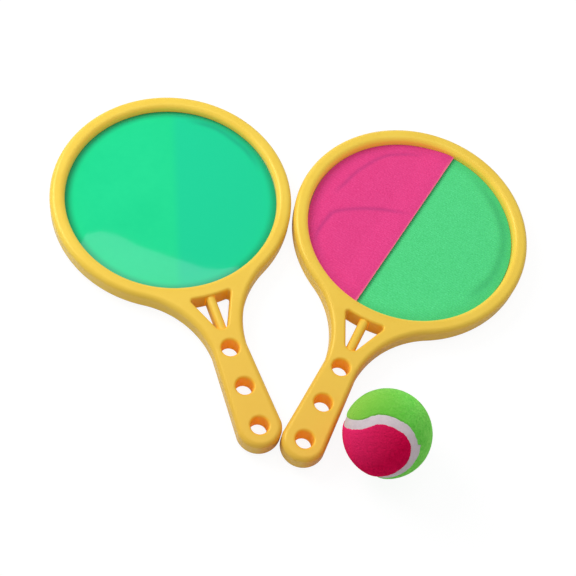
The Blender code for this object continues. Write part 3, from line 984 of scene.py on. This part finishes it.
# %% Rubber seam
SEAM_STEPS = 360
SEAM_ROWS = 12
SEAM_LEVEL = BALL_RADIUS - 0.00055
SEAM_TUCK = 0.0004
SEAM_SHELL = 0.0010
SEAM_MERGE_DISTANCE = 1e-5
RUBBER_UNEVEN, RUBBER_SCALE = 0.00008, 30
RUBBER_FRACTAL = (0.8, 2.0, 3)
deselect_all()
bpy.ops.mesh.primitive_grid_add(x_subdivisions=SEAM_STEPS, y_subdivisions=SEAM_ROWS, size=2)
band = bpy.context.object
band.name = "band"
for vertex in band.data.vertices:
    t = math.pi * (vertex.co.x + 1)
    reach = half_band(t, "green" if vertex.co.y > 0 else "pink") + SEAM_TUCK
    direction = beside_seam(t, vertex.co.y * reach)
    uneven = noise.fractal(direction * RUBBER_SCALE, *RUBBER_FRACTAL)
    vertex.co = direction * (SEAM_LEVEL + RUBBER_UNEVEN * uneven)
edit_all()
bpy.ops.mesh.remove_doubles(threshold=SEAM_MERGE_DISTANCE)
end_edit()
face_outward(band)
thicken(band, SEAM_SHELL, FELT_SMOOTH_ANGLE, outward=False)
seam_piece = placed_copy(band, "rubber_seam", ball_place)
bpy.data.objects.remove(band, do_unlink=True)
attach(seam_piece, "root")
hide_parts("ball_seam")
print("seam", triangles(seam_piece), "triangles")


# %% [markdown]
# ## Materials
# The photograph's colours are bright and even, so each finish is one colour with a little
# uneven tone. Effects that several finishes share are node groups: `uneven_tone` gives a colour
# that drifts, and `pile` gives the height of small loops or fibres.

# %% Helpers: colours, materials and groups
BYTE_MAX = 255


def linear(red, green, blue):
    """An sRGB colour, 0 to 255, as the linear values that a shader takes, by the sRGB curve."""
    def channel(value):
        value /= BYTE_MAX
        return value / 12.92 if value <= 0.04045 else ((value + 0.055) / 1.055) ** 2.4
    return (channel(red), channel(green), channel(blue), 1.0)


def new_material(name, roughness):
    mat = bpy.data.materials.new(name)
    mat.use_nodes = True
    shader = mat.node_tree.nodes["Principled BSDF"]
    shader.inputs["Roughness"].default_value = roughness
    return mat, mat.node_tree, shader


def finish_with(mat, *pieces):
    for piece in pieces:
        piece.data.materials.clear()
        piece.data.materials.append(mat)
    print(mat.name, "on", ", ".join(piece.name for piece in pieces))


def new_group(name, inputs, outputs):
    group = bpy.data.node_groups.new(name, "ShaderNodeTree")
    for label, kind, value in inputs:
        socket = group.interface.new_socket(label, in_out="INPUT", socket_type=kind)
        if value is not None:
            socket.default_value = value
    for label, kind in outputs:
        group.interface.new_socket(label, in_out="OUTPUT", socket_type=kind)
    return group, group.nodes.new("NodeGroupInput"), group.nodes.new("NodeGroupOutput")


def place_group(tree, group, **values):
    node = tree.nodes.new("ShaderNodeGroup")
    node.node_tree = group
    for label, value in values.items():
        node.inputs[label.replace("_", " ")].default_value = value
    return node


# %% Helpers: nodes that work out and mix values
def maths(tree, operation, *values):
    """The result of a Math node, whose values are numbers or the outputs of other nodes."""
    node = tree.nodes.new("ShaderNodeMath")
    node.operation = operation
    for value, socket in zip(values, node.inputs):
        if isinstance(value, float):
            socket.default_value = value
        else:
            tree.links.new(value, socket)
    return node.outputs["Value"]


def mix_values(tree, share, first, second):
    mix = tree.nodes.new("ShaderNodeMix")
    for value, label in ((share, "Factor"), (first, "A"), (second, "B")):
        tree.links.new(value, mix.inputs[label])
    return mix.outputs["Result"]


def mix_colours(tree, mask, base, other, strength=1.0):
    """Base colour with another one laid over it where the mask is high."""
    mix = tree.nodes.new("ShaderNodeMix")
    mix.data_type = "RGBA"
    tree.links.new(maths(tree, "MULTIPLY", mask, strength), mix.inputs["Factor"])
    for value, label in ((base, "A"), (other, "B")):
        socket = [item for item in mix.inputs if item.name == label and item.type == "RGBA"][0]
        if isinstance(value, tuple):
            socket.default_value = value
        else:
            tree.links.new(value, socket)
    return [item for item in mix.outputs if item.type == "RGBA"][0]


def rise_between(tree, value, low, high):
    """0 where a value is at the low end, 1 at the high end, and even between them."""
    node = tree.nodes.new("ShaderNodeMapRange")
    node.inputs["From Min"].default_value = low
    node.inputs["From Max"].default_value = high
    tree.links.new(value, node.inputs["Value"])
    return node.outputs["Result"]


# %% Helpers: what a pattern reads, and the bump it makes
def attribute(tree, name):
    node = tree.nodes.new("ShaderNodeAttribute")
    node.attribute_name = name
    return node.outputs["Fac"]


def object_place(tree):
    """Where a point lies on its object, so that a pattern stays put on the piece."""
    return tree.nodes.new("ShaderNodeTexCoord").outputs["Object"]


def feed(tree, place, *patterns):
    for node in patterns:
        tree.links.new(place, node.inputs["Vector"])


def add_bump(tree, shader, height, distance, strength):
    bump = tree.nodes.new("ShaderNodeBump")
    bump.inputs["Distance"].default_value = distance
    bump.inputs["Strength"].default_value = strength
    tree.links.new(height, bump.inputs["Height"])
    tree.links.new(bump.outputs["Normal"], shader.inputs["Normal"])


# %% Shared node group: uneven tone
TONE_CONTRAST = (0.32, 0.68)


def tone_group():
    """Two colours mixed by a broad and a fine noise."""
    group, given, result = new_group(
        "uneven_tone",
        [("Vector", "NodeSocketVector", None),
         ("Colour", "NodeSocketColor", (1, 1, 1, 1)), ("Other", "NodeSocketColor", (0, 0, 0, 1)),
         ("Broad", "NodeSocketFloat", 60.0), ("Fine", "NodeSocketFloat", 900.0),
         ("Fine share", "NodeSocketFloat", 0.3)],
        [("Colour", "NodeSocketColor")])
    broad = group.nodes.new("ShaderNodeTexNoise")
    fine = group.nodes.new("ShaderNodeTexNoise")
    broad.inputs["Detail"].default_value = 3.0
    fine.inputs["Detail"].default_value = 2.0
    feed(group, given.outputs["Vector"], broad, fine)
    for texture, label in ((broad, "Broad"), (fine, "Fine")):
        group.links.new(given.outputs[label], texture.inputs["Scale"])
    both = mix_values(group, given.outputs["Fine share"], broad.outputs["Fac"],
                      fine.outputs["Fac"])
    mask = rise_between(group, both, *TONE_CONTRAST)
    colour = mix_colours(group, mask, given.outputs["Colour"], given.outputs["Other"])
    group.links.new(colour, result.inputs["Colour"])
    return group


# %% Shared node group: pile
def pile_group():
    """Height of a pile: round loops or tufts, a fine grain, and faint ribs along one way."""
    group, given, result = new_group(
        "pile",
        [("Vector", "NodeSocketVector", None), ("Loops", "NodeSocketFloat", 1000.0),
         ("Grain", "NodeSocketFloat", 2500.0), ("Grain share", "NodeSocketFloat", 0.4),
         ("Ribs", "NodeSocketFloat", 200.0), ("Rib share", "NodeSocketFloat", 0.0)],
        [("Height", "NodeSocketFloat")])
    loops = group.nodes.new("ShaderNodeTexVoronoi")
    grain = group.nodes.new("ShaderNodeTexNoise")
    grain.inputs["Detail"].default_value = 2.0
    ribs = group.nodes.new("ShaderNodeTexWave")
    ribs.bands_direction = "Y"
    ribs.inputs["Distortion"].default_value = 2.5
    ribs.inputs["Detail"].default_value = 1.0
    ribs.inputs["Detail Scale"].default_value = 2.0
    feed(group, given.outputs["Vector"], loops, grain, ribs)
    for texture, label in ((loops, "Loops"), (grain, "Grain"), (ribs, "Ribs")):
        group.links.new(given.outputs[label], texture.inputs["Scale"])
    round_top = maths(group, "SUBTRACT", 1.0, loops.outputs["Distance"])
    grainy = mix_values(group, given.outputs["Grain share"], round_top, grain.outputs["Fac"])
    ribbed = mix_values(group, given.outputs["Rib share"], grainy, ribs.outputs["Fac"])
    group.links.new(ribbed, result.inputs["Height"])
    return group


tone = tone_group()
pile = pile_group()
print("node groups", tone.name, "and", pile.name)

# %% [markdown]
# ## Plastic
# The moulding is satin yellow plastic. Light goes a few millimetres into it and comes out
# orange, so the walls of its openings glow. Subsurface scattering tinted the outer edges as
# well, which the photograph doesn't show. So the glow is painted, by the attributes made above:
# it turns the walls orange and gives them, and the ring's bore, a little light of their own.
# Painted shade makes the grip and the walls that face away from the lamp a deeper yellow. The
# sheet is glossy, and its tone follows its attributes too, among them painted shade by the ring
# and along the creases.

# %% Yellow moulding
YELLOW = (linear(252, 216, 86), linear(248, 208, 76))
# Painted shade: the deeper yellow of the grip.
GRIP_SHADE_YELLOW, GRIP_SHADE_SHARE = linear(241, 190, 72), 0.85
SHADED_COLOUR, SHADED_SHARE = linear(240, 152, 34), 0.75
# Painted glow: the walls of the openings are turned orange and given a light of their own.
PAINTED_GLOW_COLOUR = linear(255, 166, 0)
PAINTED_GLOW_LIGHT = (0.47, 0.175, 0.0, 1.0)
# Painted light: the gold light of the ring's bore.
BORE_PAINTED_LIGHT = (0.17, 0.088, 0.012, 1.0)
DARK = (0.0, 0.0, 0.0, 1.0)
GRAIN_SCALE = 600.0
yellow, tree, shader = new_material("yellow_moulding", roughness=0.27)
shader.inputs["Specular Tint"].default_value = (1.0, 0.86, 0.36, 1.0)
shader.inputs["Emission Strength"].default_value = 1.0
place = object_place(tree)
drift = place_group(tree, tone, Colour=YELLOW[0], Other=YELLOW[1], Broad=38.0, Fine=420.0,
                    Fine_share=0.3)
grain = tree.nodes.new("ShaderNodeTexNoise")
grain.inputs["Scale"].default_value = GRAIN_SCALE
grain.inputs["Detail"].default_value = 3.0
feed(tree, place, drift, grain)
colour = mix_colours(tree, attribute(tree, "grip_shade"), drift.outputs["Colour"],
                     GRIP_SHADE_YELLOW, GRIP_SHADE_SHARE)
colour = mix_colours(tree, attribute(tree, "shaded_wall"), colour, SHADED_COLOUR, SHADED_SHARE)
painted_glow = attribute(tree, "painted_glow")
colour = mix_colours(tree, painted_glow, colour, PAINTED_GLOW_COLOUR)
tree.links.new(colour, shader.inputs["Base Color"])
painted_own_light = mix_colours(tree, attribute(tree, "painted_bore_light"), DARK, BORE_PAINTED_LIGHT)
painted_own_light = mix_colours(tree, painted_glow, painted_own_light, PAINTED_GLOW_LIGHT)
tree.links.new(painted_own_light, shader.inputs["Emission Color"])
add_bump(tree, shader, grain.outputs["Fac"], distance=0.0002, strength=0.10)
finish_with(yellow, *frames.values())

# %% Green sheet
SHEET_GREEN = (linear(8, 224, 147), linear(20, 229, 151))
OVER_PINK, OVER_PINK_SHARE = linear(8, 218, 157), 0.9
# Painted shade along the creases that show through.
CREASE_SHADE_GREEN, SHEET_CREASE_SHADE = linear(12, 176, 132), 0.7
# Painted shade beside the ring.
RIM_SHADE_GREEN, RIM_SHADE_SHARE = linear(12, 150, 96), 0.75
green_sheet, tree, shader = new_material("green_sheet", roughness=0.035)
shader.inputs["Specular IOR Level"].default_value = 0.6
shader.inputs["Specular Tint"].default_value = (0.75, 0.45, 1.0, 1.0)
drift = place_group(tree, tone, Colour=SHEET_GREEN[0], Other=SHEET_GREEN[1], Broad=22.0,
                    Fine=160.0, Fine_share=0.35)
feed(tree, object_place(tree), drift)
colour = drift.outputs["Colour"]
for mask, tint, strength in (("pink_behind", OVER_PINK, OVER_PINK_SHARE),
                             ("crease", CREASE_SHADE_GREEN, SHEET_CREASE_SHADE),
                             ("ring_shade", RIM_SHADE_GREEN, RIM_SHADE_SHARE)):
    colour = mix_colours(tree, attribute(tree, mask), colour, tint, strength)
tree.links.new(colour, shader.inputs["Base Color"])
finish_with(green_sheet, *sheets.values())

# %% [markdown]
# ## Cloth, felt and rubber
# The loop fabric is a dense field of tiny loops in faint ribs that run across the seam, so its
# pattern reads the cloth's own UV map. Shade is painted into its colour between the loops, in
# the creases and beside the ring, and the shade that the pink throws on the green is painted
# streaky. The felt has a soft nap that is paler where it is seen edge on, which is the shader's
# sheen.

# %% Loop fabric
# Each cloth has a light and a dark tone, and a deeper one for painted shade in the creases and
# beside the ring.
FABRIC_COLOURS = {
    "pink": (linear(250, 80, 154), linear(232, 58, 132), linear(184, 56, 128)),
    "green": (linear(98, 238, 155), linear(76, 216, 128), linear(56, 176, 108)),
}
CUT_EDGE_COLOUR, CUT_EDGE_SHARE = linear(255, 132, 150), 0.85
LAP_SHADE_COLOUR, LAP_SHADE_SHARE = linear(46, 156, 94), 0.62
# Painted shade: the colour is darker between the loops, where the pile is low.
BETWEEN_LOOPS = (0.75, 0.35)
LOOP_SHADE_SHARE = 0.45
CLOTH_CREASE_SHADE = 0.5
# Painted shade beside the ring.
RING_SHADE_SHARE = 0.35
STREAK_GAIN, STREAK_BASE = 0.9, 0.45
for name, (light, dark, shade_tint) in FABRIC_COLOURS.items():
    mat, tree, shader = new_material(name + "_loop_fabric", roughness=0.95)
    shader.inputs["Specular IOR Level"].default_value = 0.2
    shader.inputs["Sheen Weight"].default_value = 0.15
    cloth = tree.nodes.new("ShaderNodeUVMap")
    cloth.uv_map = "cloth"
    loops = place_group(tree, pile, Loops=1050.0, Grain=2100.0, Grain_share=0.35, Ribs=168.0,
                        Rib_share=0.5)
    drift = place_group(tree, tone, Colour=light, Other=dark, Broad=90.0, Fine=650.0,
                        Fine_share=0.78)
    feed(tree, cloth.outputs["UV"], loops, drift)
    low = rise_between(tree, loops.outputs["Height"], *BETWEEN_LOOPS)
    colour = mix_colours(tree, low, drift.outputs["Colour"], dark, LOOP_SHADE_SHARE)
    for mask, tint, strength in (("crease", shade_tint, CLOTH_CREASE_SHADE),
                                 ("ring_shade", shade_tint, RING_SHADE_SHARE),
                                 ("cut_edge", CUT_EDGE_COLOUR, CUT_EDGE_SHARE)):
        colour = mix_colours(tree, attribute(tree, mask), colour, tint, strength)
    streaks = maths(tree, "MULTIPLY_ADD", low, STREAK_GAIN, STREAK_BASE)
    streaky = maths(tree, "MULTIPLY", attribute(tree, "lap_shade"), streaks)
    colour = mix_colours(tree, streaky, colour, LAP_SHADE_COLOUR, LAP_SHADE_SHARE)
    tree.links.new(colour, shader.inputs["Base Color"])
    add_bump(tree, shader, loops.outputs["Height"], distance=0.0005, strength=0.42)
    finish_with(mat, *(fabrics[side + "_" + name] for side in SIDES))

# %% [markdown]
# ## Felt
# The ball is painted paler to the upper left, the side the light comes from, and painted
# deeper in colour in the middle of the side that faces the camera, as shade, so that its rim
# looks brighter. A texture could hold this, but the ball is a sphere, so two masks are enough:
# how far a point lies from the ball's middle toward a direction, which a Dot Product gives.

# %% Felt
# Each felt has a light and a dark tone, and a paler colour for painted light.
FELT_COLOURS = {"pink": (linear(255, 18, 92), linear(210, 6, 72), linear(255, 56, 126)),
                "green": (linear(160, 255, 116), linear(106, 226, 78), linear(156, 208, 78))}
FELT_SHEEN = {"pink": 0.5, "green": 1.0}
# Directions from the ball's middle, and where each mask begins and ends as shares of the radius.
# Painted light: the ball is paler toward the upper left, the side the light comes from.
LIT_SIDE_TOWARD, LIT_SIDE_RANGE = (-0.80, 0.10, 0.55), (0.25, 1.0)
LIT_SIDE_SHARE = 0.9
# Painted shade: darker toward the middle of the side that faces the camera, so the rim looks
# brighter.
MIDDLE_SHADE_TOWARD, MIDDLE_SHADE_RANGE = (-0.12, -0.40, 0.91), (0.30, 1.0)
MIDDLE_SHADE_COLOURS = {"pink": linear(182, 0, 50), "green": linear(72, 180, 50)}
MIDDLE_SHADE_SHARES = {"pink": 0.50, "green": 0.68}


def ball_mask(tree, from_middle, direction, reach):
    """How far each point of the ball lies toward a direction, between two shares of its radius."""
    along = tree.nodes.new("ShaderNodeVectorMath")
    along.operation = "DOT_PRODUCT"
    along.inputs[1].default_value = direction
    tree.links.new(from_middle, along.inputs[0])
    return rise_between(tree, along.outputs["Value"], *(BALL_RADIUS * share for share in reach))


for name, (light, dark, lit_colour) in FELT_COLOURS.items():
    mat, tree, shader = new_material(name + "_napped_felt", roughness=1.0)
    shader.inputs["Specular IOR Level"].default_value = 0.03
    shader.inputs["Sheen Weight"].default_value = FELT_SHEEN[name]
    shader.inputs["Sheen Roughness"].default_value = 0.38
    shader.inputs["Sheen Tint"].default_value = light
    place = object_place(tree)
    nap = place_group(tree, pile, Loops=560.0, Grain=1300.0, Grain_share=0.6)
    drift = place_group(tree, tone, Colour=light, Other=dark, Broad=170.0, Fine=520.0,
                        Fine_share=0.6)
    feed(tree, place, nap, drift)
    from_middle = tree.nodes.new("ShaderNodeVectorMath")
    from_middle.operation = "SUBTRACT"
    from_middle.inputs[1].default_value = ball_centre
    tree.links.new(place, from_middle.inputs[0])
    lit_side = ball_mask(tree, from_middle.outputs["Vector"], LIT_SIDE_TOWARD, LIT_SIDE_RANGE)
    middle_shade = ball_mask(tree, from_middle.outputs["Vector"], MIDDLE_SHADE_TOWARD, MIDDLE_SHADE_RANGE)
    colour = mix_colours(tree, lit_side, drift.outputs["Colour"], lit_colour, LIT_SIDE_SHARE)
    colour = mix_colours(tree, middle_shade, colour, MIDDLE_SHADE_COLOURS[name], MIDDLE_SHADE_SHARES[name])
    tree.links.new(colour, shader.inputs["Base Color"])
    add_bump(tree, shader, nap.outputs["Height"], distance=0.0009, strength=0.95)
    finish_with(mat, felts[name])

# %% [markdown]
# ## Rubber
# The seam is matt pale rubber with a slightly crumbly skin. The core's two halves are inside the
# ball and are never seen, but they are rubber too, so one loop gives both their finish.

# %% Rubber
SEAM_TONES = (linear(222, 209, 214), linear(204, 189, 196))
CORE_TONES = (linear(60, 58, 58), linear(48, 46, 46))
cores = [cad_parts[node] for node in CORE_HALVES]
for name, (light, dark), roughness, pieces in (
        ("seam_rubber", SEAM_TONES, 0.75, [seam_piece]),
        ("core_rubber", CORE_TONES, 0.6, cores)):
    mat, tree, shader = new_material(name, roughness)
    drift = place_group(tree, tone, Colour=light, Other=dark, Broad=150.0, Fine=900.0,
                        Fine_share=0.4)
    crumb = place_group(tree, pile, Loops=900.0, Grain=1600.0, Grain_share=0.7)
    feed(tree, object_place(tree), drift, crumb)
    tree.links.new(drift.outputs["Colour"], shader.inputs["Base Color"])
    add_bump(tree, shader, crumb.outputs["Height"], distance=0.0003, strength=0.35)
    finish_with(mat, *pieces)

# %% [markdown]
# ## Floor and light
# The photograph is a cut-out on pure white. A white floor under soft, plain light comes close.
# To the camera the floor is mostly an even white that doesn't depend on the lamps, with a share
# of the lit floor left in, so that each piece keeps the soft shadow it stands on.

# %% Floor
FLOOR_SIZE = 12.0
FLOOR_LEVEL = -0.0003
FLOOR_ALBEDO = 0.8
CAMERA_WHITE = 1.08
EVEN_SHARE = 0.84
deselect_all()
bpy.ops.mesh.primitive_plane_add(size=FLOOR_SIZE, location=(0, 0, FLOOR_LEVEL))
floor = bpy.context.object
floor.name = "floor"
floor_mat, tree, shader = new_material("white_floor", roughness=0.9)
shader.inputs["Base Color"].default_value = (FLOOR_ALBEDO, FLOOR_ALBEDO, FLOOR_ALBEDO, 1)
shader.inputs["Specular IOR Level"].default_value = 0.0
finish_with(floor_mat, floor)
path = tree.nodes.new("ShaderNodeLightPath")
share = maths(tree, "MULTIPLY", path.outputs["Is Camera Ray"], EVEN_SHARE)
even = tree.nodes.new("ShaderNodeEmission")
even.inputs["Strength"].default_value = CAMERA_WHITE
blend = tree.nodes.new("ShaderNodeMixShader")
tree.links.new(share, blend.inputs["Fac"])
tree.links.new(shader.outputs["BSDF"], blend.inputs[1])
tree.links.new(even.outputs["Emission"], blend.inputs[2])
tree.links.new(blend.outputs["Shader"], tree.nodes["Material Output"].inputs["Surface"])

# %% World
AMBIENT = 0.42
world = bpy.data.worlds.new("studio")
bpy.context.scene.world = world
world.use_nodes = True
tree = world.node_tree
sky = tree.nodes["Background"]
sky.inputs["Color"].default_value = (1, 1, 1, 1)
path = tree.nodes.new("ShaderNodeLightPath")
seen = tree.nodes.new("ShaderNodeMapRange")
seen.inputs["To Min"].default_value = AMBIENT
seen.inputs["To Max"].default_value = 1.0
tree.links.new(path.outputs["Is Camera Ray"], seen.inputs["Value"])
tree.links.new(seen.outputs["Result"], sky.inputs["Strength"])
print("ambient light", AMBIENT)

# %% [markdown]
# ## Lamps
# Two soft boxes light the set. The large one hangs above it and behind, where the green sheet
# mirrors it to the camera, and its turned edge is the one that crosses the sheet. The small one
# is brighter and stands to the left, which leaves the right walls of the frames in shade.

# %% Lamps
def softbox(name, location, size, radiance, target=None, turn=0.0):
    """A rectangular lamp of a stated brightness, aimed at a point, or straight down."""
    lamp_data = bpy.data.lights.new(name, "AREA")
    lamp_data.shape = "RECTANGLE"
    lamp_data.size = size[0]
    lamp_data.size_y = size[1]
    lamp_data.energy = radiance * math.pi * size[0] * size[1]
    lamp = bpy.data.objects.new(name, lamp_data)
    bpy.context.scene.collection.objects.link(lamp)
    lamp.location = location
    if target is None:
        lamp.rotation_euler = (0, 0, turn)
    else:
        toward = Vector(target) - Vector(location)
        lamp.rotation_euler = toward.to_track_quat("-Z", "Y").to_euler()
    print(name, "lamp", round(lamp_data.energy, 1), "W")


softbox("overhead", location=(0.06, 0.24, 1.5), size=(1.06, 1.08), radiance=1.5, turn=LAMP_TURN)
softbox("left", location=(-0.8, 0.5, 0.85), size=(0.7, 0.6), radiance=6.1, target=(0, 0, 0))
bpy.context.scene.view_settings.view_transform = "Standard"
